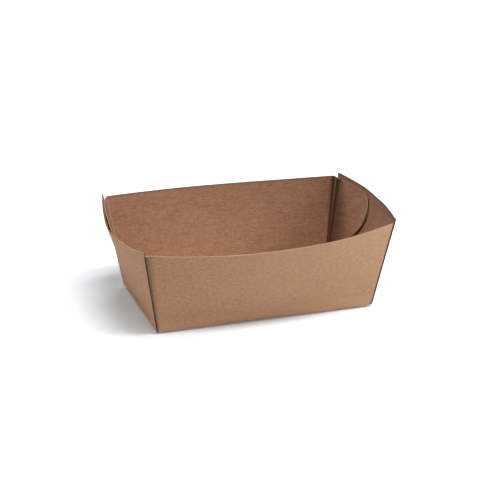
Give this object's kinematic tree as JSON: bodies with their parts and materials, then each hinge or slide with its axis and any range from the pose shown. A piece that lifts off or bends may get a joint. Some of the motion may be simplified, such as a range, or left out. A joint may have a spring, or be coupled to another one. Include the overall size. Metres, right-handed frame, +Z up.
{
  "type": "paperboard food tray",
  "caption": "Rectangular kraft paperboard food tray folded from one blank, with outward-bowed walls and glued corner flaps.",
  "frame": {"origin": "middle of the flat underside of the base", "axes": "+X along the tray's length, +Y across its width towards the back long wall, +Z up"},
  "size_m": [0.1336, 0.0934, 0.045],
  "materials": {
    "kraft_board": "uncoated brown kraft paperboard with fine fibre mottling"
  },
  "bodies": {
    "root": {"tray": "kraft_board"}
  },
  "joints": []
}
